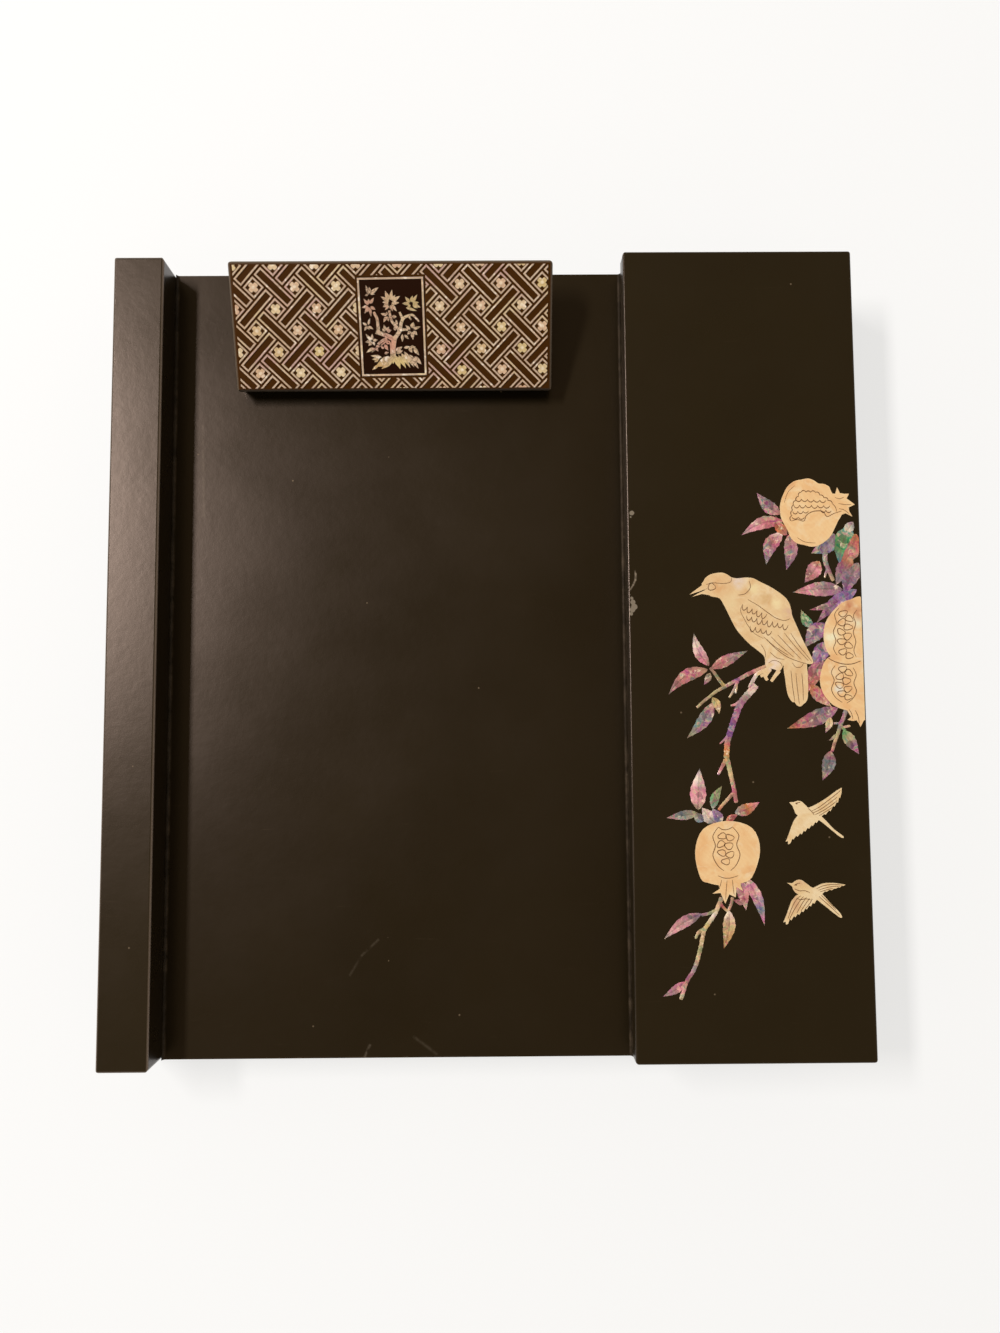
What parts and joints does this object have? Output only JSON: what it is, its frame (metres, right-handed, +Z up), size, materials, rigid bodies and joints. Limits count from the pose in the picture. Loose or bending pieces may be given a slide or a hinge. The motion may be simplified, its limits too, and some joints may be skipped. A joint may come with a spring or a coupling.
{
  "type": "writing box",
  "caption": "Lacquered writing board with a sunk memo panel, a sprung paper clip and a hinged pen box lid, with lattice and bird-and-pomegranate shell inlay.",
  "frame": {"origin": "middle of the body's footprint, on the table under the base felt", "axes": "+X to the right, towards the pen box; +Y away from the writer, towards the clip; +Z up"},
  "size_m": [0.205, 0.2218, 0.0365],
  "materials": {
    "lacquer": "satin black-brown lacquer",
    "felt": "felt",
    "brass": "plain",
    "steel": "plated",
    "shell": "polished cream shell",
    "pearl": "polished coloured shell"
  },
  "bodies": {
    "base": {"bottom_board": "lacquer", "base_felt": "felt", "left_rail": "lacquer", "panel_battens": "lacquer", "front_fascia": "lacquer", "back_fascia": "lacquer", "writing_panel": "lacquer", "panel_fillets": "lacquer", "box_inner_wall": "lacquer", "box_outer_wall": "lacquer", "box_front_wall": "lacquer", "box_back_wall": "lacquer", "box_lining": "felt", "hinge_box_leaves": "brass", "hinge_pins": "brass", "hinge_box_screws": "brass", "clip_base": "steel", "clip_base_screws": "brass", "clip_pin": "steel", "clip_spring": "steel"},
    "lid": {"lid": "lacquer", "hinge_lid_leaves": "brass", "hinge_lid_screws": "brass", "inlay_large_bird": "shell", "inlay_pomegranates": "shell", "inlay_branches": "pearl", "inlay_leaves": "pearl", "inlay_small_birds": "shell"},
    "clip": {"clip_plate": "lacquer", "clip_bracket": "steel", "clip_bracket_screws": "brass", "clip_lattice": "shell", "clip_tile_frame": "shell", "clip_tile_tree": "shell"}
  },
  "joints": [
    {"name": "lid_hinge", "type": "hinge", "parent": "base", "child": "lid", "pos_m": [0.10095, 0, 0.0245], "axis": [0, 1, 0], "range_deg": [0, 97]},
    {"name": "clip_hinge", "type": "hinge", "parent": "base", "child": "clip", "pos_m": [-0.02515, 0.0944, 0.0218], "axis": [-1, 0, 0], "range_deg": [0, 29.5], "stiffness_Nm_per_rad": 0.2, "springref_deg": -20.05, "deforming": ["clip_spring"]}
  ]
}
